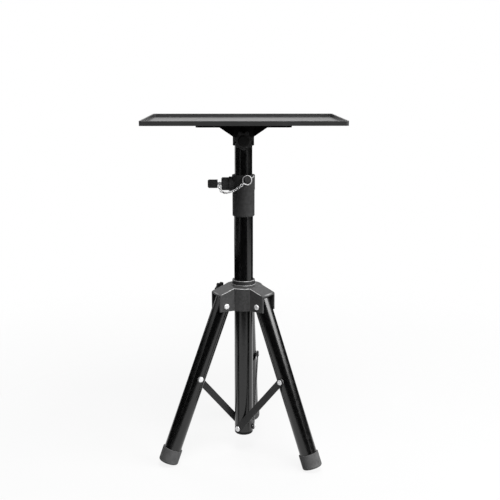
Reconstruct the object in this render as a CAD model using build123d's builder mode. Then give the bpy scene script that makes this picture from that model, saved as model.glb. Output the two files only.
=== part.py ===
from build123d import *
from math import atan2, cos, degrees, hypot, pi, radians, sin, sqrt, tan
import os

# Portable stand with a tray on a telescopic pole and a folding tripod.
# Millimetres, +Z up, the floor at Z = 0, the tray's front towards -Y.

# Fits, all measured on the radius or across one face
slide_fit = 0.3
pin_fit = 0.2
seat_gap = 0.1
swing_gap = 0.9

# Telescopic pole
lower_od = 38.0
lower_wall = 1.2
upper_od = lower_od - 2 * (lower_wall + slide_fit)
upper_wall = 1.5
pole_bottom = 40.0
plug_lip = 6.0
plug_depth = 18.0
upper_bottom = 130.0

# Clamp collar at the top of the lower tube, with its locking pin
collar_bottom = 503.0
collar_step = 556.0
collar_top = 586.0
collar_wall = 3.0
collar_throat = 6.0
collar_round = 2.2
lip_out = 0.7
pin_azimuth = 180.0
pin_height = 567.5
boss_d = 26.0
boss_reach = 44.0
boss_root_d = 29.0
boss_root_reach = 29.0
boss_round = 3.0
pin_d = 6.0
pin_bare = 7.5
pin_head_d = 17.0
pin_head_length = 19.5
pin_head_cap = 1.5
flute_count = 12
flute_d = 2.4
stud_azimuth = -74.0
stud_height = 580.0
stud_neck_d = 10.0
stud_head_d = 13.0
stud_neck = 4.6
stud_head = 2.0
ring_od = 20.0
ring_wire = 2.2

# Pin chain
link_wire = 1.3
link_width = 5.4
link_length = 7.8
link_play = 0.5
loop_od = 10.5
chain_pull = 40.0
chain_low_x = 32.5
chain_low_y = 16.0
chain_low_z = 551.3
chain_lean = 0.05
chain_twist = 0.7

# Tray with its mounting plate and socket
tray_width = 380.0
tray_depth = 280.0
tray_top = 699.0
tray_height = 9.0
tray_floor = 2.0
tray_rim = 3.0
tray_corner = 6.0
plate_size = 180.0
plate_thickness = 6.0
plate_corner = 8.0
socket_wall = 3.2
socket_bottom = 644.0
socket_neck = 661.0
gusset_reach = 55.0
gusset_thickness = 8.0
socket_roof = 3.0

# Lobed hand knobs
tray_knob_d = 38.0
tray_knob_thickness = 11.0
knob_lobes = 7
lobe_share = 0.24
knob_cap_d = 20.0
knob_cap = 2.0
knob_round = 1.5
knob_stem_d = 15.0
knob_stem = 5.0
screw_d = 8.0
tray_knob_height = 656.0
tray_knob_azimuth = -90.0
tray_knob_off = 3.0

# Hub that the legs hang from
tripod_turn = -6.0
leg_azimuth = {"right": 330 + tripod_turn, "left": 210 + tripod_turn, "rear": 90 + tripod_turn}
hub_bottom = 314.5
hub_deck = 361.0
hub_deck_d = 76.0
hub_ring_step = 364.0
hub_top = 372.5
hub_ring_d = 46.0
hub_ring_out = 1.6
hub_wall = 3.6
hub_reach = 62.0
hub_pivot_r = 47.5
hub_pivot_z = 325.0
pivot_d = 8.0
rivet_head_d = 11.0
rivet_head = 2.2
rivet_round = 1.8
hub_knob_azimuth = leg_azimuth["left"] - 60
hub_knob_d = 31.0
hub_knob_thickness = 6.0
hub_knob_height = 342.0
hub_knob_off = 2.0
hub_boss = 13.0
hub_round = 4.0
hub_edge_round = 1.5

# Legs with their foot caps
leg_od = 35.0
leg_wall = 1.5
leg_angle = 21.0
leg_above_pivot = 12.0
cap_od = 40.0
cap_length = 30.0
cap_floor = 6.0
cap_round = 4.0

# Braces from the legs to the bottom of the pole
brace_down_leg = 157.0
brace_foot_z = 54.0
brace_width = 14.0
brace_thickness = 2.5
brace_gap = 0.5
brace_rivet_d = 6.0
washer_d = 13.0
washer = 1.2

# Derived sizes
lower_id = lower_od - 2 * lower_wall
collar_od = lower_od + 2 * (collar_wall + seat_gap)
tube_top = collar_top - collar_throat
tray_bottom = tray_top - tray_height
plate_bottom = tray_bottom - plate_thickness
socket_id = upper_od + 2 * slide_fit
socket_od = socket_id + 2 * socket_wall
upper_top = plate_bottom - socket_roof - seat_gap
hub_bore = lower_od + 2 * slide_fit
hub_half = leg_od / 2 + swing_gap + hub_wall
lean = radians(leg_angle)
roof_start = sqrt((hub_deck_d / 2) ** 2 - hub_half**2)
roof_end = hub_deck - (hub_reach - roof_start) * tan(lean)
roof_drop = hub_wall / cos(lean)
cap_end_z = (cap_od / 2 - cap_round) * sin(lean) + cap_round * (1 - cos(lean))
leg_to_floor = (hub_pivot_z - cap_end_z) / cos(lean)
cap_end_r = hub_pivot_r + leg_to_floor * sin(lean)
foot_reach = cap_end_r + (cap_od / 2 - cap_round) * cos(lean) + cap_round * (1 - sin(lean))
joint_r = hub_pivot_r + brace_down_leg * sin(lean)
joint_z = hub_pivot_z - brace_down_leg * cos(lean)
brace_length = hypot(joint_r, joint_z - brace_foot_z)
brace_slope = degrees(atan2(joint_z - brace_foot_z, joint_r))
brace_inner = lower_od / 2 + brace_gap
brace_outer = brace_inner + brace_thickness
pole_y = (tray_depth / 2 - foot_reach * sin(radians(leg_azimuth["rear"]))) / 2

# Level plane through the pole's axis, from which all heights are taken
stand = Plane((0, pole_y, 0))

os.makedirs("parts", exist_ok=True)


def arm_plane(azimuth):
    """Upright plane through the pole's axis: X outwards, Y up, Z towards the brace's side."""
    a = radians(azimuth)
    return Plane((0, pole_y, 0), x_dir=(cos(a), sin(a), 0), z_dir=(sin(a), -cos(a), 0))


def facing_plane(azimuth, reach, height):
    """Upright plane that faces outwards at a distance from the pole's axis: X level, Y up."""
    a = radians(azimuth)
    middle = (reach * cos(a), pole_y + reach * sin(a), height)
    return Plane(middle, x_dir=(-sin(a), cos(a), 0), z_dir=(cos(a), sin(a), 0))


def leg_plane(azimuth):
    """Plane across a leg at its hub pivot: X towards the brace's side, Z down the leg."""
    arm = arm_plane(azimuth)
    pivot = arm.from_local_coords((hub_pivot_r, hub_pivot_z, 0))
    return Plane(pivot, x_dir=arm.z_dir, z_dir=arm.x_dir * sin(lean) - arm.y_dir * cos(lean))


def hub_arm(azimuth):
    """Arm of the hub before it is hollowed, with its roof square to the leg and its edges rounded."""
    upright = arm_plane(azimuth)
    with BuildPart() as block:
        with BuildSketch(upright) as side:
            with BuildLine():
                Polyline(
                    (0, hub_bottom),
                    (hub_reach, hub_bottom),
                    (hub_reach, roof_end),
                    (roof_start, hub_deck),
                    (0, hub_deck),
                    close=True,
                )
            make_face()
            fillet(side.vertices().group_by(Axis.X)[-1].sort_by(Axis.Y)[-1], hub_round)
        extrude(amount=hub_half, both=True)
        walls = block.faces().filter_by(Axis(upright.origin, upright.z_dir))
        fillet(walls.edges().filter_by(lambda edge: edge.center().Z > hub_pivot_z), hub_edge_round)
    return block.part


def lobed_knob(back, width, thickness):
    """Lobed hand knob on its stem; back is the plane of the stem's end, facing outwards."""
    outwards = Axis(back.origin, back.z_dir)
    lobe_r = width * lobe_share / 2
    with BuildPart() as knob:
        with BuildSketch(back.offset(knob_stem)) as star:
            Circle(width / 2 - lobe_r)
            with PolarLocations(width / 2 - lobe_r, knob_lobes, start_angle=-90):
                Circle(lobe_r)
            fillet(star.vertices(), lobe_r / 2)
        extrude(amount=thickness)
        fillet(knob.edges().group_by(outwards)[-1], knob_round)
        with BuildSketch(back.offset(knob_stem + thickness)):
            Circle(knob_cap_d / 2)
        extrude(amount=knob_cap)
        fillet(knob.edges().group_by(outwards)[-1], knob_cap / 2)
        with BuildSketch(back):
            Circle(knob_stem_d / 2)
        extrude(amount=knob_stem)
        with BuildSketch(back):
            Circle(screw_d / 2 + seat_gap)
        extrude(amount=knob_stem + thickness / 2, mode=Mode.SUBTRACT)
    return knob.part


def export(piece, name):
    """Name a piece and write it to its own file."""
    piece.label = name
    export_step(piece, f"parts/{name}.step")


# Lower tube, open at both ends, with holes for the pin and for the brace rivets
with BuildPart() as lower_tube:
    with BuildSketch(stand.offset(pole_bottom + plug_lip)):
        Circle(lower_od / 2)
        Circle(lower_id / 2, mode=Mode.SUBTRACT)
    extrude(amount=tube_top - pole_bottom - plug_lip)
    with BuildSketch(facing_plane(pin_azimuth, 0, pin_height)):
        Circle(pin_d / 2 + pin_fit)
    extrude(amount=lower_od, mode=Mode.SUBTRACT)
    for azimuth in leg_azimuth.values():
        with BuildSketch(arm_plane(azimuth)):
            with Locations((0, brace_foot_z)):
                Circle(brace_rivet_d / 2 + seat_gap)
        extrude(amount=lower_od, mode=Mode.SUBTRACT)
export(lower_tube.part, "lower_tube")

# Plug that closes the bottom of the lower tube
with BuildPart() as plug:
    with BuildSketch(stand.offset(pole_bottom)):
        Circle(lower_od / 2)
    extrude(amount=plug_lip)
    fillet(plug.edges().group_by(Axis.Z)[0], plug_lip / 2)
    with BuildSketch(stand.offset(pole_bottom + plug_lip)):
        Circle(lower_id / 2 - seat_gap)
    extrude(amount=plug_depth)
export(plug.part, "lower_tube_plug")

# Upper tube that slides in the lower one
with BuildPart() as upper_tube:
    with BuildSketch(stand.offset(upper_bottom)):
        Circle(upper_od / 2)
        Circle(upper_od / 2 - upper_wall, mode=Mode.SUBTRACT)
    extrude(amount=upper_top - upper_bottom)
export(upper_tube.part, "upper_tube")

# Clamp collar: a stepped sleeve with a throat for the upper tube and a boss for the pin
with BuildPart() as collar:
    with BuildSketch(stand.offset(collar_bottom)):
        Circle(collar_od / 2)
    extrude(amount=collar_step - collar_bottom)
    fillet(collar.edges().group_by(Axis.Z)[0], collar_round)
    with BuildSketch(stand.offset(collar_step)):
        Circle(collar_od / 2 + lip_out)
    extrude(amount=collar_top - collar_step)
    fillet(collar.edges().group_by(Axis.Z)[-1], lip_out * 2)
    with BuildSketch(facing_plane(pin_azimuth, 0, pin_height)):
        Circle(boss_root_d / 2)
    extrude(amount=boss_root_reach)
    with BuildSketch(facing_plane(pin_azimuth, 0, pin_height)):
        Circle(boss_d / 2)
    extrude(amount=boss_reach)
    fillet(collar.edges().group_by(Axis.X)[0], boss_round)
    with BuildSketch(stand.offset(collar_bottom)):
        Circle(lower_od / 2 + seat_gap)
    extrude(amount=tube_top + seat_gap - collar_bottom, mode=Mode.SUBTRACT)
    with BuildSketch(stand.offset(tube_top)):
        Circle(upper_od / 2 + slide_fit)
    extrude(amount=collar_throat, mode=Mode.SUBTRACT)
    with BuildSketch(facing_plane(pin_azimuth, 0, pin_height)):
        Circle(pin_d / 2 + pin_fit)
    extrude(amount=boss_reach, mode=Mode.SUBTRACT)
export(collar.part, "collar")

# Locking pin, whose tip stops short of the upper tube, and its fluted head
pin_tip = upper_od / 2 + 2 * slide_fit
with BuildPart() as pin:
    with BuildSketch(facing_plane(pin_azimuth, pin_tip, pin_height)):
        Circle(pin_d / 2)
    extrude(amount=boss_reach + pin_bare - pin_tip)
export(pin.part, "locking_pin")

with BuildPart() as pin_head:
    with BuildSketch(facing_plane(pin_azimuth, boss_reach + pin_bare, pin_height)) as fluted:
        Circle(pin_head_d / 2)
        with PolarLocations(pin_head_d / 2, flute_count):
            Circle(flute_d / 2, mode=Mode.SUBTRACT)
        fillet(fluted.vertices(), flute_d / 8)
    extrude(amount=pin_head_length - pin_head_cap)
    with BuildSketch(facing_plane(pin_azimuth, boss_reach + pin_bare, pin_height)):
        Circle(pin_head_d / 2 - flute_d / 2)
    extrude(amount=pin_head_length)
    fillet(pin_head.edges().group_by(Axis.X)[0], pin_head_cap / 2)
export(pin_head.part, "pin_head")

# Stud on the collar's front that the split ring hangs from
stud_face = collar_od / 2 + lip_out
with BuildPart() as stud:
    with BuildSketch(facing_plane(stud_azimuth, stud_face, stud_height)):
        Circle(stud_neck_d / 2)
    extrude(amount=stud_neck)
    with BuildSketch(facing_plane(stud_azimuth, stud_face + stud_neck, stud_height)):
        Circle(stud_head_d / 2)
    extrude(amount=stud_head)
export(stud.part, "collar_stud")

# Split ring, hanging on the stud's neck
ring_mid = ring_od / 2 - ring_wire / 2
ring_drop = ring_od / 2 - ring_wire - stud_neck_d / 2 - seat_gap
ring_plane = facing_plane(stud_azimuth, stud_face + stud_neck / 2, stud_height - ring_drop)
with BuildPart() as split_ring:
    with Locations(ring_plane.location):
        Torus(ring_mid, ring_wire / 2)
export(split_ring.part, "split_ring")

# Chain: a loop round the pin, then oval links along a hanging curve that twists a little halfway
loop_mid = loop_od / 2 - link_wire / 2
loop_drop = loop_od / 2 - link_wire - pin_d / 2 - seat_gap
loop_plane = facing_plane(pin_azimuth, boss_reach + pin_bare / 2, pin_height - loop_drop)
pitch = link_length - 2 * link_wire - link_play
loop_hook = link_length / 2 - 1.5 * link_wire - link_play / 2
ring_hook = link_length / 2 - link_wire - ring_wire / 2 - link_play / 2
pull = radians(chain_pull)
chain_out = ring_mid + ring_hook
chain_start = loop_plane.from_local_coords((0, -loop_mid - loop_hook, 0))
chain_end = ring_plane.from_local_coords((-chain_out * cos(pull), -chain_out * sin(pull), 0))
chain_low = stand.from_local_coords((-chain_low_x, -chain_low_y, chain_low_z))
off_loop = (chain_end - chain_start).normalized() * chain_lean - loop_plane.y_dir
to_ring = ring_plane.x_dir * cos(pull) + ring_plane.y_dir * sin(pull)
with BuildLine():
    hanging = Spline(chain_start, chain_low, chain_end, tangents=(off_loop, to_ring), tangent_scalars=(1.15, 0.8))
with BuildPart() as link:
    bend = link_width / 2 - link_wire / 2
    straight = link_length / 2 - link_width / 2
    with BuildLine(Plane.XZ) as oval:
        Line((-bend, -straight), (-bend, straight))
        ThreePointArc((-bend, straight), (0, straight + bend), (bend, straight))
        Line((bend, straight), (bend, -straight))
        ThreePointArc((bend, -straight), (0, -straight - bend), (-bend, -straight))
    with BuildSketch(Plane(oval.line @ 0, z_dir=oval.line % 0)):
        RegularPolygon(link_wire / 2, 8)
    sweep()
link_pairs = int(hanging.length / pitch / 2) + 1
link_spots = []
for i in range(2 * link_pairs):
    step = i / (2 * link_pairs - 1)
    run = hanging % step
    level = run.cross(Vector(0, 1, 0)).normalized()
    turn = chain_twist * sin(pi * step) + pi / 2 * (i % 2)
    flat = level * cos(turn) + run.cross(level) * sin(turn)
    link_spots.append(Plane(hanging @ step, x_dir=flat, z_dir=run).location)
with BuildPart() as chain:
    with Locations(*link_spots):
        add(link.part)
    with Locations(loop_plane.location):
        Torus(loop_mid, link_wire / 2)
export(chain.part, "pin_chain")

# Tray with a raised rim
with BuildPart() as tray:
    with BuildSketch(stand.offset(tray_bottom)):
        RectangleRounded(tray_width, tray_depth, tray_corner)
    extrude(amount=tray_height)
    with BuildSketch(stand.offset(tray_bottom + tray_floor)):
        RectangleRounded(tray_width - 2 * tray_rim, tray_depth - 2 * tray_rim, tray_corner - tray_rim)
    extrude(amount=tray_height, mode=Mode.SUBTRACT)
    fillet(tray.edges().group_by(Axis.Z)[-1], tray_rim / 4)
export(tray.part, "tray")

# Mounting plate under the tray
with BuildPart() as plate:
    with BuildSketch(stand.offset(plate_bottom)):
        RectangleRounded(plate_size, plate_size, plate_corner)
    extrude(amount=plate_thickness)
export(plate.part, "tray_mount_plate")

# Socket that grips the upper tube, with a gusset to the left and to the right
with BuildPart() as socket:
    with BuildSketch(arm_plane(0)):
        with BuildLine():
            Polyline(
                (-socket_od / 2, socket_neck),
                (-gusset_reach, plate_bottom),
                (gusset_reach, plate_bottom),
                (socket_od / 2, socket_neck),
                close=True,
            )
        make_face()
    extrude(amount=gusset_thickness / 2, both=True)
    with BuildSketch(stand.offset(socket_bottom)):
        Circle(socket_od / 2)
    extrude(amount=plate_bottom - socket_bottom)
    with BuildSketch(stand.offset(socket_bottom)):
        Circle(socket_id / 2)
    extrude(amount=plate_bottom - socket_roof - socket_bottom, mode=Mode.SUBTRACT)
    with BuildSketch(facing_plane(tray_knob_azimuth, 0, tray_knob_height)):
        Circle(screw_d / 2 + pin_fit)
    extrude(amount=socket_od, mode=Mode.SUBTRACT)
export(socket.part, "tray_socket")

# Tray knob and its clamp screw, which stops short of the upper tube
tray_knob_back = socket_od / 2 + tray_knob_off
tray_knob_plane = facing_plane(tray_knob_azimuth, tray_knob_back, tray_knob_height)
tray_knob = lobed_knob(tray_knob_plane, tray_knob_d, tray_knob_thickness)
export(tray_knob, "tray_knob")

tray_screw_tip = upper_od / 2 + slide_fit
with BuildPart() as tray_screw:
    with BuildSketch(facing_plane(tray_knob_azimuth, tray_screw_tip, tray_knob_height)):
        Circle(screw_d / 2)
    extrude(amount=tray_knob_back + knob_stem + tray_knob_thickness / 2 - seat_gap - tray_screw_tip)
export(tray_screw.part, "tray_knob_screw")

# Hub: a deck round the pole with three roofed arms, each a channel for the top of a leg
hub_arms = [hub_arm(azimuth) for azimuth in leg_azimuth.values()]
with BuildPart() as hub:
    with BuildSketch(stand.offset(hub_bottom)):
        Circle(hub_deck_d / 2)
    extrude(amount=hub_deck - hub_bottom)
    fillet(hub.edges().group_by(Axis.Z)[-1], hub_edge_round)
    for azimuth in leg_azimuth.values():
        with BuildSketch(arm_plane(azimuth)):
            with BuildLine():
                Polyline((roof_start, hub_deck), (hub_reach, hub_deck), (hub_reach, roof_end), close=True)
            make_face()
        extrude(amount=hub_half, both=True, mode=Mode.SUBTRACT)
    add(hub_arms)
    with BuildSketch(stand.offset(hub_deck)):
        Circle(hub_ring_d / 2 + hub_ring_out)
    extrude(amount=hub_ring_step - hub_deck)
    fillet(hub.edges().group_by(Axis.Z)[-1], hub_ring_out / 2)
    with BuildSketch(stand.offset(hub_ring_step)):
        Circle(hub_ring_d / 2)
    extrude(amount=hub_top - hub_ring_step)
    fillet(hub.edges().group_by(Axis.Z)[-1], hub_ring_out / 2)
    with BuildSketch(facing_plane(hub_knob_azimuth, hub_ring_d / 2, hub_knob_height)):
        Circle(knob_stem_d / 2)
    extrude(amount=hub_deck_d / 2 + hub_boss - hub_ring_d / 2)
    for azimuth in leg_azimuth.values():
        with BuildSketch(arm_plane(azimuth)):
            with BuildLine():
                Polyline(
                    (hub_ring_d / 2, hub_bottom),
                    (hub_reach, hub_bottom),
                    (hub_reach, roof_end - roof_drop),
                    (roof_start, hub_deck - roof_drop),
                    (hub_ring_d / 2, hub_deck - roof_drop),
                    close=True,
                )
            make_face()
        extrude(amount=leg_od / 2 + swing_gap, both=True, mode=Mode.SUBTRACT)
        with BuildSketch(arm_plane(azimuth)):
            with Locations((hub_pivot_r, hub_pivot_z)):
                Circle(pivot_d / 2 + seat_gap)
        extrude(amount=hub_half, both=True, mode=Mode.SUBTRACT)
    with BuildSketch(facing_plane(hub_knob_azimuth, 0, hub_knob_height)):
        Circle(screw_d / 2 + pin_fit)
    extrude(amount=hub_deck_d, mode=Mode.SUBTRACT)
    with BuildSketch(stand.offset(hub_bottom)):
        Circle(hub_bore / 2)
    extrude(amount=hub_top - hub_bottom, mode=Mode.SUBTRACT)
export(hub.part, "hub")

# Hub knob and its clamp screw, which stops short of the lower tube
hub_knob_back = hub_deck_d / 2 + hub_boss + hub_knob_off
hub_knob_plane = facing_plane(hub_knob_azimuth, hub_knob_back, hub_knob_height)
hub_knob = lobed_knob(hub_knob_plane, hub_knob_d, hub_knob_thickness)
export(hub_knob, "hub_knob")

hub_screw_tip = lower_od / 2 + slide_fit
with BuildPart() as hub_screw:
    with BuildSketch(facing_plane(hub_knob_azimuth, hub_screw_tip, hub_knob_height)):
        Circle(screw_d / 2)
    extrude(amount=hub_knob_back + knob_stem + hub_knob_thickness / 2 - seat_gap - hub_screw_tip)
export(hub_screw.part, "hub_knob_screw")

# Each leg with its foot cap, its pivot, its brace and their rivets
for side_name, azimuth in leg_azimuth.items():
    arm = arm_plane(azimuth)
    down = leg_plane(azimuth)
    down_leg = Axis(down.origin, down.z_dir)
    across = Axis(arm.origin, arm.z_dir)

    with BuildPart() as leg:
        with BuildSketch(down.offset(-leg_above_pivot)):
            Circle(leg_od / 2)
            Circle(leg_od / 2 - leg_wall, mode=Mode.SUBTRACT)
        extrude(amount=leg_above_pivot + leg_to_floor - cap_floor - seat_gap)
        with BuildSketch(arm):
            with Locations((hub_pivot_r, hub_pivot_z)):
                Circle(pivot_d / 2 + pin_fit)
        extrude(amount=leg_od, both=True, mode=Mode.SUBTRACT)
        with BuildSketch(arm):
            with Locations((joint_r, joint_z)):
                Circle(brace_rivet_d / 2 + seat_gap)
        extrude(amount=-leg_od, mode=Mode.SUBTRACT)
    export(leg.part, f"leg_{side_name}")

    with BuildPart() as cap:
        with BuildSketch(down.offset(leg_to_floor - cap_length)):
            Circle(cap_od / 2)
        extrude(amount=cap_length)
        fillet(cap.edges().group_by(down_leg)[-1], cap_round)
        with BuildSketch(down.offset(leg_to_floor - cap_length)):
            Circle(leg_od / 2 + seat_gap)
        extrude(amount=cap_length - cap_floor, mode=Mode.SUBTRACT)
    export(cap.part, f"foot_cap_{side_name}")

    with BuildPart() as pivot:
        with BuildSketch(arm.offset(-hub_half)):
            with Locations((hub_pivot_r, hub_pivot_z)):
                Circle(pivot_d / 2)
        extrude(amount=2 * hub_half)
        for face in (arm.offset(hub_half), -arm.offset(-hub_half)):
            with BuildSketch(face):
                with Locations(face.to_local_coords(down.origin)):
                    Circle(rivet_head_d / 2)
            extrude(amount=rivet_head)
        fillet(pivot.edges().group_by(across)[0] + pivot.edges().group_by(across)[-1], rivet_round)
    export(pivot.part, f"leg_pivot_{side_name}")

    with BuildPart() as brace:
        with BuildSketch(arm.offset(brace_inner)):
            with Locations((joint_r / 2, (joint_z + brace_foot_z) / 2)):
                SlotCenterToCenter(brace_length, brace_width, rotation=brace_slope)
            with Locations((0, brace_foot_z), (joint_r, joint_z)):
                Circle(brace_rivet_d / 2 + pin_fit, mode=Mode.SUBTRACT)
        extrude(amount=brace_thickness)
    export(brace.part, f"brace_{side_name}")

    with BuildPart() as foot_rivet:
        with BuildSketch(arm.offset(lower_id / 2 + seat_gap)):
            with Locations((0, brace_foot_z)):
                Circle(brace_rivet_d / 2)
        extrude(amount=brace_outer + pin_fit - lower_id / 2 - seat_gap)
        with BuildSketch(arm.offset(brace_outer + pin_fit)):
            with Locations((0, brace_foot_z)):
                Circle(rivet_head_d / 2)
        extrude(amount=rivet_head)
        fillet(foot_rivet.edges().group_by(across)[-1], rivet_round)
    export(foot_rivet.part, f"brace_foot_rivet_{side_name}")

    with BuildPart() as joint_rivet:
        with BuildSketch(arm.offset(leg_od / 2 + slide_fit)):
            with Locations((joint_r, joint_z)):
                Circle(washer_d / 2)
        extrude(amount=brace_inner - leg_od / 2 - slide_fit)
        with BuildSketch(arm.offset(brace_inner)):
            with Locations((joint_r, joint_z)):
                Circle(brace_rivet_d / 2)
        extrude(amount=brace_thickness)
        with BuildSketch(arm.offset(brace_outer)):
            with Locations((joint_r, joint_z)):
                Circle(rivet_head_d / 2)
        extrude(amount=rivet_head)
        fillet(joint_rivet.edges().group_by(across)[-1], rivet_round)
    export(joint_rivet.part, f"brace_joint_rivet_{side_name}")

    with BuildPart() as far_rivet:
        with BuildSketch(arm.offset(-leg_od / 2 - washer)):
            with Locations((joint_r, joint_z)):
                Circle(washer_d / 2)
        extrude(amount=washer)
        with BuildSketch(arm.offset(-leg_od / 2 - washer)):
            with Locations((joint_r, joint_z)):
                Circle(rivet_head_d / 2)
        extrude(amount=-rivet_head)
        fillet(far_rivet.edges().group_by(across)[0], rivet_round)
        with BuildSketch(arm.offset(-leg_od / 2)):
            with Locations((joint_r, joint_z)):
                Circle(brace_rivet_d / 2)
        extrude(amount=leg_od - 2 * leg_wall)
    export(far_rivet.part, f"leg_rivet_{side_name}")
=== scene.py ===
import math

import bpy
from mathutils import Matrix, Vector


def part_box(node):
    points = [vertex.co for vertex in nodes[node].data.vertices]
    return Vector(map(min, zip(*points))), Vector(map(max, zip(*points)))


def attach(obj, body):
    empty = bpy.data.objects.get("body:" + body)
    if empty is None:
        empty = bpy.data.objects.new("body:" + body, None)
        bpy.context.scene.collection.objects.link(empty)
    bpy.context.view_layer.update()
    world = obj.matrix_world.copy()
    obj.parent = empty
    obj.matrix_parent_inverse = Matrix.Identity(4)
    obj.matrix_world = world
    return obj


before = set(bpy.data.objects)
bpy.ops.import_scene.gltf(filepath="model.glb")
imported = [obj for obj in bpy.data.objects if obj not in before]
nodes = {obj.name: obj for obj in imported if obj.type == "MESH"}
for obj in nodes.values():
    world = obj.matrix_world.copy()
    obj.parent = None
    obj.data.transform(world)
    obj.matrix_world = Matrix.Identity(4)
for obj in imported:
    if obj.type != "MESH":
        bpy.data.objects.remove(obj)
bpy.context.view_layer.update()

scene = bpy.context.scene
scene.view_settings.view_transform = "Standard"

# Places on the part, in metres and degrees

SIDES = ("left", "right", "rear")
LEG_AZIMUTH = {"left": 204.0, "right": 324.0, "rear": 84.0}
JOINT_REACH = 0.10376
JOINT_HEIGHT = 0.17843
HUB_NECK_HEIGHT = 0.361
RING_AZIMUTH = -74.0
pole_y = sum(corner[1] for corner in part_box("lower_tube")) / 2
pole_axis = ((0.0, pole_y, 0.0), (0.0, 0.0, 1.0))

# Bands in which the paint changes: shares of the noise, of a bend, of a slope and of open sky

FULL_BAND = (0.0, 1.0)
NOISE_BAND = (0.3, 0.7)
EDGE_BEND_BAND = (0.75, 0.99)
BROW_RISE_BAND = (0.15, 0.4)
BROW_FLAT_BAND = (0.72, 0.88)
GAP_SHADE_BAND = (0.4, 0.9)

# Bands in which the paint changes: distances

NECK_BAND = (HUB_NECK_HEIGHT, HUB_NECK_HEIGHT + 0.0005)
BROW_REACH_BAND = (0.059, 0.063)
RIVET_SHADOW_BAND = (0.005, 0.0052)
RIVET_WASHER_BAND = (0.0055, 0.0057)
KNOB_GROOVE_SHADE_BAND = (0.0088, 0.0094)
KNOB_RIM_HIGHLIGHT_BAND = (0.0104, 0.011)
FLOOR_FADE_BAND = (0.3, 1.5)


# Materials

PATCH_DETAIL = 4.0
GLOSS_DETAIL = 5.0
GRAIN_DETAIL = 2.0
GRAIN_SCALE = 900.0
EDGE_RADIUS = 0.0006
SCUFF_AND_HIGHLIGHT_SCALE = 140.0
SCUFF_AND_HIGHLIGHT_LEAST = 0.35


def grey(level, blue=None):
    """A grey, or a cool grey where the blue is given as well."""
    return (level, level, level if blue is None else blue)


GROOVE_SHADE_GREY = grey(0.001)
GAP_SHADE_GREY = grey(0.01)
RIVET_SHADOW_GREY = grey(0.02)
WASHER_GREY = grey(0.3)


def tone(colour, k):
    return tuple(min(1.0, c * k) for c in colour)


def middle(node):
    low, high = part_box(node)
    return tuple((a + b) / 2 for a, b in zip(low, high))


def seen_ray(tree):
    """1 for camera, reflected and transmitted rays, and 0 for rays that only carry light."""
    path = tree.nodes.new("ShaderNodeLightPath")
    seen = path.outputs["Is Camera Ray"]
    for other in ("Is Transmission Ray", "Is Glossy Ray"):
        either = tree.nodes.new("ShaderNodeMath")
        either.operation = "MAXIMUM"
        tree.links.new(seen, either.inputs[0])
        tree.links.new(path.outputs[other], either.inputs[1])
        seen = either.outputs["Value"]
    return seen


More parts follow.
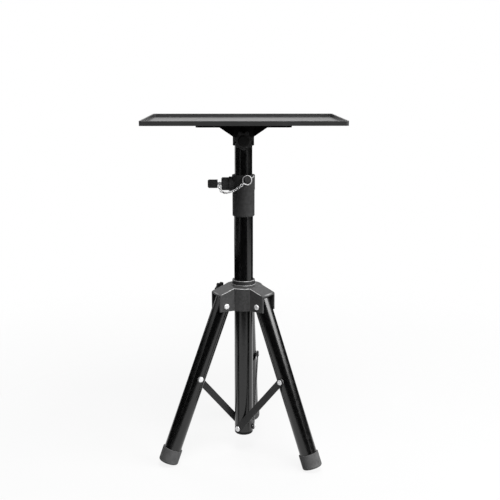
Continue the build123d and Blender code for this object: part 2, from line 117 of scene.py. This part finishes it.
class Shader:
    """A node tree under construction, with short ways to add and join nodes."""

    def __init__(self, name):
        self.material = bpy.data.materials.new(name)
        self.material.use_nodes = True
        self.tree = self.material.node_tree
        self.bsdf = self.tree.nodes["Principled BSDF"]
        self.place = self.node("ShaderNodeTexCoord").outputs["Object"]

    def node(self, kind, **settings):
        n = self.tree.nodes.new(kind)
        for key, value in settings.items():
            setattr(n, key, value)
        return n

    def join(self, out, into):
        self.tree.links.new(out, into)

    def fix(self, socket, value):
        """Sets a constant on the surface shader's own socket."""
        self.bsdf.inputs[socket].default_value = value

    def feed(self, socket, out):
        self.join(out, self.bsdf.inputs[socket])

    def noise(self, scale, detail=3.0):
        n = self.node("ShaderNodeTexNoise")
        n.inputs["Scale"].default_value = scale
        n.inputs["Detail"].default_value = detail
        n.inputs["Roughness"].default_value = 0.55
        self.join(self.place, n.inputs["Vector"])
        return n.outputs["Fac"]

    def ramp(self, value, band=NOISE_BAND, low=0.0, high=1.0):
        """Takes a value from low to high across a band."""
        n = self.node("ShaderNodeMapRange")
        for key, v in zip(("From Min", "From Max", "To Min", "To Max"), (*band, low, high)):
            n.inputs[key].default_value = v
        self.join(value, n.inputs["Value"])
        return n.outputs["Result"]

    def times(self, a, b):
        n = self.node("ShaderNodeMath", operation="MULTIPLY")
        self.join(a, n.inputs[0])
        self.join(b, n.inputs[1])
        return n.outputs["Value"]

    def mix(self, fac, a, b):
        """Goes from a to b, each a colour or another node's output."""
        n = self.node("ShaderNodeMix", data_type="RGBA")
        self.join(fac, n.inputs["Factor"])
        for key, v in (("A", a), ("B", b)):
            socket = [s for s in n.inputs if s.name == key and s.type == "RGBA"][0]
            if isinstance(v, tuple):
                socket.default_value = (*v, 1.0)
            else:
                self.join(v, socket)
        return [s for s in n.outputs if s.type == "RGBA"][0]

    def mix_shaders(self, fac, a, b):
        n = self.node("ShaderNodeMixShader")
        for out, socket in zip((fac, a, b), n.inputs):
            self.join(out, socket)
        return n.outputs["Shader"]

    def upright(self, vector):
        """The height part of a vector."""
        n = self.node("ShaderNodeSeparateXYZ")
        self.join(vector, n.inputs["Vector"])
        return n.outputs["Z"]

    def length(self, vector):
        n = self.node("ShaderNodeVectorMath", operation="LENGTH")
        self.join(vector, n.inputs[0])
        return n.outputs["Value"]

    def from_axis(self, point, axis):
        """How far a place is from the line through a point along an axis."""
        offset = self.node("ShaderNodeVectorMath", operation="SUBTRACT")
        self.join(self.place, offset.inputs[0])
        offset.inputs[1].default_value = point
        across = self.node("ShaderNodeVectorMath", operation="CROSS_PRODUCT")
        self.join(offset.outputs["Vector"], across.inputs[0])
        across.inputs[1].default_value = axis
        return self.length(across.outputs["Vector"])

    def edge(self, radius):
        """A soft rounding of sharp edges: the bent normal, and how far it bends, 0 to 1."""
        bevel = self.node("ShaderNodeBevel", samples=4)
        bevel.inputs["Radius"].default_value = radius
        flat = self.node("ShaderNodeNewGeometry")
        dot = self.node("ShaderNodeVectorMath", operation="DOT_PRODUCT")
        self.join(bevel.outputs["Normal"], dot.inputs[0])
        self.join(flat.outputs["Normal"], dot.inputs[1])
        return bevel.outputs["Normal"], self.ramp(dot.outputs["Value"], EDGE_BEND_BAND, 1.0, 0.0)

    def brow_highlight(self):
        """Where a rounded edge near the pole turns from upright to flat, 0 to 1: the mask of a painted
        highlight.
        """
        slope = self.upright(self.node("ShaderNodeTexCoord").outputs["Normal"])
        turn = self.times(self.ramp(slope, BROW_RISE_BAND), self.ramp(slope, BROW_FLAT_BAND, 1.0, 0.0))
        return self.times(turn, self.ramp(self.from_axis(*pole_axis), BROW_REACH_BAND, 1.0, 0.0))

    def bump(self, height, depth, normal):
        n = self.node("ShaderNodeBump")
        n.inputs["Strength"].default_value = 1.0
        n.inputs["Distance"].default_value = depth
        self.join(height, n.inputs["Height"])
        self.join(normal, n.inputs["Normal"])
        return n.outputs["Normal"]


def surface(name, colour, rough, vary=0.12, rough_vary=0.06, grain=GRAIN_SCALE, depth=0.00003,
            broad=30.0, metallic=0.0, specular=0.5, edge=EDGE_RADIUS, wear_and_highlight=None, washer_and_shadow=None, neck=None,
            gap_shade=None, brow_highlight=None):
    """A paint, plastic, rubber or metal: mottled colour and gloss, fine grain and eased edges.

    vary and rough_vary are how far colour and gloss change over patches of the scale broad.
    The wear colour is for edges where they bend: scuffs, and a painted highlight along rounded edges. The
    neck colour is for the hub's neck, and the brow colour is a painted highlight along its upper rounded
    edges.
    The washer axis is that of a rivet with a duller washer and a painted shadow ring round its head, and
    the gap-shade reach is how far the painted shade spreads where nearby surfaces close in.
    """
    s = Shader(name)
    s.fix("Metallic", metallic)
    s.fix("Specular IOR Level", specular)
    paint = s.mix(s.ramp(s.noise(broad, PATCH_DETAIL)), tone(colour, 1 - vary), tone(colour, 1 + vary))
    normal, bend = s.edge(edge)
    # Bent edges turn to the wear colour in patches: scuffs, and a painted highlight along rounded edges.
    if wear_and_highlight:
        scuffs_and_highlight = s.ramp(s.noise(SCUFF_AND_HIGHLIGHT_SCALE, GLOSS_DETAIL), low=SCUFF_AND_HIGHLIGHT_LEAST)
        paint = s.mix(s.times(bend, scuffs_and_highlight), paint, wear_and_highlight)
    if washer_and_shadow:
        reach = s.from_axis(*washer_and_shadow)
        # A painted shadow ring round the rivet's head, and outside it the washer's duller grey.
        paint = s.mix(s.ramp(reach, RIVET_SHADOW_BAND), paint, RIVET_SHADOW_GREY)
        paint = s.mix(s.ramp(reach, RIVET_WASHER_BAND), paint, WASHER_GREY)
    if neck:
        paint = s.mix(s.ramp(s.upright(s.place), NECK_BAND), paint, neck)
    if gap_shade:
        # Painted shade: darker where nearby surfaces close in, as between the chain's links.
        shut = s.node("ShaderNodeAmbientOcclusion", samples=8)
        shut.inputs["Distance"].default_value = gap_shade
        paint = s.mix(s.ramp(shut.outputs["AO"], GAP_SHADE_BAND), GAP_SHADE_GREY, paint)
    # A painted highlight along the hub's upper rounded edges.
    if brow_highlight:
        paint = s.mix(s.brow_highlight(), paint, brow_highlight)
    s.feed("Base Color", paint)
    gloss = s.noise(broad * 4, GLOSS_DETAIL)
    s.feed("Roughness", s.ramp(gloss, low=rough - rough_vary, high=rough + rough_vary))
    s.feed("Normal", s.bump(s.noise(grain, GRAIN_DETAIL), depth, normal))
    return s.material


def knob_plastic(name, node, axis):
    """Black plastic of a hand knob: a dark disc and a groove painted near-black as shade, inside a lobed
    rim painted paler as a highlight.
    """
    s = Shader(name)
    s.fix("Specular IOR Level", 0.16)
    reach = s.from_axis(middle(node), axis)
    patch = s.ramp(s.noise(60.0, PATCH_DETAIL))
    disc = s.mix(patch, grey(0.008, 0.0081), grey(0.0113, 0.0115))
    # The rim is painted paler than the disc, as a highlight on the same black plastic.
    rim = s.mix(patch, grey(0.034, 0.0345), grey(0.046, 0.0465))
    # The groove is painted near-black as shade.
    disc = s.mix(s.ramp(reach, KNOB_GROOVE_SHADE_BAND), disc, GROOVE_SHADE_GREY)
    s.feed("Base Color", s.mix(s.ramp(reach, KNOB_RIM_HIGHLIGHT_BAND), disc, rim))
    s.feed("Roughness", s.ramp(s.noise(120.0, PATCH_DETAIL), low=0.4, high=0.52))
    normal, _ = s.edge(EDGE_RADIUS)
    s.feed("Normal", s.bump(s.noise(GRAIN_SCALE, GRAIN_DETAIL), 0.00004, normal))
    return s.material


STEEL = dict(colour=grey(0.96, 0.97), rough=0.4, vary=0.03, metallic=0.55, depth=0.00001, edge=0.0005)


def joint_steel(side):
    """Bright rivet between leg and brace, with a painted shadow ring and then a duller washer round its
    head.
    """
    turn = math.radians(LEG_AZIMUTH[side])
    point = (JOINT_REACH * math.cos(turn), pole_y + JOINT_REACH * math.sin(turn), JOINT_HEIGHT)
    return surface(f"joint_steel_{side}", washer_and_shadow=(point, (-math.sin(turn), math.cos(turn), 0.0)), **STEEL)


black_enamel = surface("black_enamel", grey(0.0022, 0.0023), 0.19, rough_vary=0.04, grain=300.0,
                       depth=0.000005, specular=0.6)
black_plastic = surface("black_plastic", grey(0.0107, 0.011), 0.46, depth=0.00004, specular=0.16,
                        wear_and_highlight=grey(0.04))
pin_plastic = surface("pin_plastic", grey(0.043, 0.0434), 0.5, depth=0.00004, specular=0.1,
                      wear_and_highlight=grey(0.067))
flat_black = surface("flat_black", grey(0.0027, 0.0028), 0.6, specular=0.06)
collar_plastic = surface("collar_plastic", grey(0.055, 0.0556), 0.5, depth=0.00005, vary=0.2,
                         broad=160.0, specular=0.06, wear_and_highlight=grey(0.093))
# On the hub the wear colour is mostly a painted highlight along its bent edges.
hub_plastic = surface("hub_plastic", grey(0.052, 0.0526), 0.42, grain=520.0, depth=0.0001, vary=0.35,
                      broad=260.0, specular=0.4, edge=0.0016, wear_and_highlight=grey(0.27), brow_highlight=grey(0.6),
                      neck=grey(0.03, 0.0306))
brace_paint = surface("brace_paint", grey(0.04, 0.0406), 0.4, specular=0.25, wear_and_highlight=grey(0.093))
foot_rubber = surface("foot_rubber", grey(0.113, 0.114), 0.72, vary=0.2, broad=90.0, grain=500.0,
                      depth=0.00008, specular=0.2, wear_and_highlight=grey(0.16))
bright_steel = surface("bright_steel", **STEEL)
ring_steel = surface("ring_steel", grey(0.97, 0.98), 0.3, vary=0.03, metallic=0.1, depth=0.00001,
                     edge=0.0003)
chain_steel = surface("chain_steel", grey(0.96, 0.97), 0.1, vary=0.04, rough_vary=0.03, metallic=1.0,
                      depth=0.00001, edge=0.0003, gap_shade=0.003)
plain_steel = surface("plain_steel", grey(0.55, 0.56), 0.32, vary=0.08, metallic=1.0, depth=0.00002)
tray_satin = surface("tray_paint", grey(0.019, 0.0192), 0.35, vary=0.2, rough_vary=0.025, broad=18.0,
                     grain=700.0, depth=0.00002)

painted = {
    black_enamel: ["lower_tube", "upper_tube"] + [f"leg_{s}" for s in SIDES],
    black_plastic: ["lower_tube_plug", "hub_knob"],
    knob_plastic("knob_plastic", "tray_knob", (0.0, 1.0, 0.0)): ["tray_knob"],
    pin_plastic: ["pin_head"],
    flat_black: ["tray_mount_plate", "tray_socket"],
    collar_plastic: ["collar", "collar_stud"],
    hub_plastic: ["hub"],
    brace_paint: [f"brace_{s}" for s in SIDES],
    foot_rubber: [f"foot_cap_{s}" for s in SIDES],
    chain_steel: ["pin_chain"],
    ring_steel: ["split_ring"],
    bright_steel: ["locking_pin"]
    + [f"{n}_{s}" for n in ("leg_pivot", "brace_foot_rivet") for s in SIDES],
    plain_steel: ["tray_knob_screw", "hub_knob_screw"],
    tray_satin: ["tray"],
}
for side in SIDES:
    painted[joint_steel(side)] = [f"brace_joint_rivet_{side}", f"leg_rivet_{side}"]
for material, names in painted.items():
    for name in names:
        nodes[name].data.materials.clear()
        nodes[name].data.materials.append(material)


# Free end of the split ring's wire

TAIL_RADIUS = 0.0011
TAIL_STEPS = 6
# Places of the tail's wire to the right of the ring's middle and above it
TAIL_COURSE = ((0.0068, 0.0057), (0.0084, 0.0044), (0.0103, 0.0047), (0.0121, 0.0063), (0.0134, 0.0081))
# A wire's rounded end: how far ahead each ring lies and how wide it is, as shares of the radius
ROUND_END = ((0.0, 1.0), (0.5, 0.86), (0.86, 0.5), (1.0, 0.02))


def add_mesh(name, corners, faces):
    mesh = bpy.data.meshes.new(name)
    mesh.from_pydata(corners, [], faces)
    thing = bpy.data.objects.new(name, mesh)
    scene.collection.objects.link(thing)
    return thing


def smooth(points, steps):
    """Points along a smooth curve through the given ones."""
    path = []
    for i in range(len(points) - 1):
        a, b, c, d = (points[max(0, min(len(points) - 1, i + k))] for k in (-1, 0, 1, 2))
        for step in range(steps):
            t = step / steps
            path.append(0.5 * (2 * b + (c - a) * t + (2 * a - 5 * b + 4 * c - d) * t ** 2
                               + (3 * b - a - 3 * c + d) * t ** 3))
    return path + [points[-1]]


def wire(name, points, facing, radius, around=14):
    """A round wire with rounded ends, swept along points that lie in the plane square to facing."""
    path = smooth(points, TAIL_STEPS)
    turns = [2 * math.pi * k / around for k in range(around)]
    rings = []
    for i, place in enumerate(path):
        along = (path[min(i + 1, len(path) - 1)] - path[max(i - 1, 0)]).normalized()
        side_way = along.cross(facing)
        stations = ROUND_END[:1]
        if i == 0:
            stations = [(-ahead, share) for ahead, share in reversed(ROUND_END)]
        if i == len(path) - 1:
            stations = ROUND_END
        for ahead, share in stations:
            centre = place + along * radius * ahead
            rings.append([centre + radius * share * (facing * math.cos(turn) + side_way * math.sin(turn))
                          for turn in turns])
    corners = [corner for ring in rings for corner in ring]
    faces = []
    for ring in range(len(rings) - 1):
        low, high = ring * around, (ring + 1) * around
        for k in range(around):
            after = (k + 1) % around
            faces.append((low + k, low + after, high + after, high + k))
    faces += [tuple(reversed(range(around))), tuple(range(len(corners) - around, len(corners)))]
    tail = add_mesh(name, corners, faces)
    for face in tail.data.polygons:
        face.use_smooth = True
    tail.data.update()
    return tail


ring_turn = math.radians(RING_AZIMUTH)
ring_face = Vector((math.cos(ring_turn), math.sin(ring_turn), 0.0))
ring_right = Vector((-math.sin(ring_turn), math.cos(ring_turn), 0.0))
ring_middle = Vector(middle("split_ring"))
tail_path = [ring_middle + ring_right * x + Vector((0.0, 0.0, z)) for x, z in TAIL_COURSE]
ring_tail = wire("split_ring_tail", tail_path, ring_face, TAIL_RADIUS)
ring_tail.data.materials.append(ring_steel)
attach(ring_tail, "pole")


# Floor, cards, world and lamps

MATT_ROUGHNESS = 0.9
FLOOR_RADIUS = 2.4
FLOOR_SIDES = 64
FLOOR_GLOW = 1.45
FLOOR_GLOW_SHARE = 0.6
WORLD_LIGHT = 0.15
WORLD_SEEN = 1.0

# Each card's two ends on the floor, and its height
CARDS = {
    "card_front": ((-0.8, -0.9), (0.9, -0.9), 0.7),
    "card_left": ((-0.8, 1.4), (-0.8, -0.9), 0.25),
    "card_far_left": ((-2.0, 1.4), (-2.0, -2.0), 0.75),
    "card_near_right": ((0.9, 0.2), (0.45, 1.0), 0.35),
    "card_right": ((2.4, -2.0), (2.4, 1.4), 0.75),
    "card_back": ((2.4, 1.4), (-0.8, 1.4), 0.75),
}

LAMPS = {
    "key": dict(place=(2.27, -1.06, 1.45), aim=(0, 0, 0.35), size=(2.2, 1.1), watts=66),
    "top": dict(place=(0.25, -0.9, 2.2), aim=(0, 0, 0.4), size=(0.9, 0.9), watts=36),
    "back": dict(place=(-0.2, 1.1, 2.6), aim=(0, 0, 0.35), size=(0.8, 0.8), watts=15),
}


def matt(name, scale, band, dark, pale):
    """A shader without gloss, mottled from a dark to a pale colour."""
    s = Shader(name)
    s.feed("Base Color", s.mix(s.ramp(s.noise(scale), band), dark, pale))
    s.fix("Roughness", MATT_ROUGHNESS)
    s.fix("Specular IOR Level", 0.0)
    return s


def pale_floor():
    """A round pale floor that fades into the white background away from the object."""
    turns = [2 * math.pi * k / FLOOR_SIDES for k in range(FLOOR_SIDES)]
    rim = [(FLOOR_RADIUS * math.cos(turn), FLOOR_RADIUS * math.sin(turn), 0.0) for turn in turns]
    floor = add_mesh("floor", rim, [tuple(range(FLOOR_SIDES))])
    s = matt("floor", 3.0, NOISE_BAND, grey(0.227), grey(0.24))
    glow = s.node("ShaderNodeEmission")
    glow.inputs["Strength"].default_value = FLOOR_GLOW
    share = s.ramp(seen_ray(s.tree), FULL_BAND, high=FLOOR_GLOW_SHARE)
    lit = s.mix_shaders(share, s.bsdf.outputs["BSDF"], glow.outputs["Emission"])
    fade = s.node("ShaderNodeMapRange", interpolation_type="SMOOTHSTEP")
    fade.inputs["From Min"].default_value, fade.inputs["From Max"].default_value = FLOOR_FADE_BAND
    s.join(s.length(s.place), fade.inputs["Value"])
    clear = s.node("ShaderNodeBsdfTransparent").outputs["BSDF"]
    faded = s.mix_shaders(fade.outputs["Result"], lit, clear)
    s.join(faded, s.tree.nodes["Material Output"].inputs["Surface"])
    floor.data.materials.append(s.material)


def dark_card(name, start, end, height):
    """An upright dark card, from one point of the floor to another, that shows only in gloss."""
    corners = [(*start, 0.0), (*end, 0.0), (*end, height), (*start, height)]
    card = add_mesh(name, corners, [(0, 1, 2, 3)])
    card.data.materials.append(matt(name, 4.0, FULL_BAND, grey(0.008), grey(0.012)).material)
    card.visible_camera = card.visible_diffuse = card.visible_shadow = card.visible_transmission = False


def studio_world():
    """White to the camera and in reflections, and a softer level as light."""
    world = bpy.data.worlds.new("studio")
    scene.world = world
    world.use_nodes = True
    tree = world.node_tree
    strength = tree.nodes.new("ShaderNodeMapRange")
    strength.inputs["To Min"].default_value = WORLD_LIGHT
    strength.inputs["To Max"].default_value = WORLD_SEEN
    tree.links.new(seen_ray(tree), strength.inputs["Value"])
    background = tree.nodes["Background"]
    background.inputs["Color"].default_value = (1, 1, 1, 1)
    tree.links.new(strength.outputs["Result"], background.inputs["Strength"])


def softbox(name, place, aim, size, watts):
    data = bpy.data.lights.new(name, "AREA")
    data.shape = "RECTANGLE"
    data.size, data.size_y = size
    data.energy = watts
    lamp = bpy.data.objects.new(name, data)
    lamp.location = place
    lamp.rotation_euler = (Vector(aim) - Vector(place)).to_track_quat("-Z", "Y").to_euler()
    scene.collection.objects.link(lamp)


pale_floor()
for name, (start, end, height) in CARDS.items():
    dark_card(name, start, end, height)
studio_world()
for name, lamp in LAMPS.items():
    softbox(name, **lamp)


# Camera at the photograph's viewing angle

SENSOR_WIDTH = 36.0
FOCAL_SHARE = 854.7 / 500.0
CAMERA_ASIDE = -0.0148
CAMERA_BACK = 1.6931
CAMERA_HEIGHT = 0.7848
CAMERA_DOWN = 11.75
CAMERA_TURN = -0.94

camera_data = bpy.data.cameras.new("camera")
camera_data.sensor_width = SENSOR_WIDTH
camera_data.lens = SENSOR_WIDTH * FOCAL_SHARE
camera = bpy.data.objects.new("camera", camera_data)
camera.location = (CAMERA_ASIDE, pole_y - CAMERA_BACK, CAMERA_HEIGHT)
camera.rotation_euler = (math.radians(90.0 - CAMERA_DOWN), 0.0, math.radians(CAMERA_TURN))
scene.collection.objects.link(camera)
scene.camera = camera
